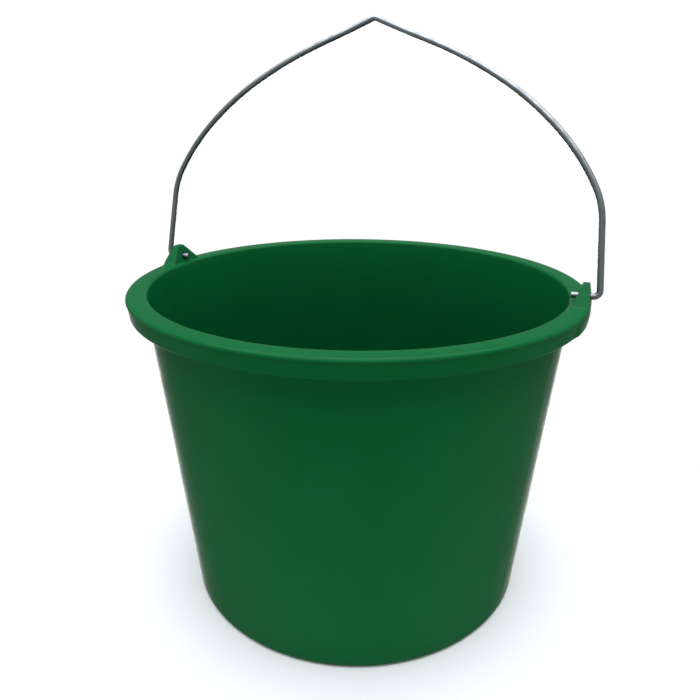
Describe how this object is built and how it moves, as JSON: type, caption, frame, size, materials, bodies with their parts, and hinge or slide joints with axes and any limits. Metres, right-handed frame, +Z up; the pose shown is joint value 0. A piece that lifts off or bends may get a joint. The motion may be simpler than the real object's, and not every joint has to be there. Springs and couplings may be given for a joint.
{
  "type": "feed bucket",
  "caption": "Round tapered plastic feed bucket with a turned-down rim and an ear at each side, and a peaked wire bail that swings in the ears to carry or hang it.",
  "frame": {"origin": "centre of the foot, on the ground under the bucket", "axes": "+Z up through the mouth; X through the two ears, along the bail's pivot; at rest the bail stands up and leans a little towards +Y"},
  "size_m": [0.321, 0.31, 0.3928],
  "materials": {
    "moulded_plastic": "satin injection-moulded polyethylene, bottle green",
    "plated_wire": "drawn steel wire, zinc plated, semi-bright"
  },
  "bodies": {
    "bucket": {"bucket": "moulded_plastic"},
    "bail": {"bail_handle": "plated_wire"}
  },
  "joints": [
    {"name": "bail_swing", "type": "hinge", "parent": "bucket", "child": "bail", "pos_m": [0, 0, 0.2302], "axis": [1, 0, 0], "range_deg": [-81.8, 99.6]}
  ]
}
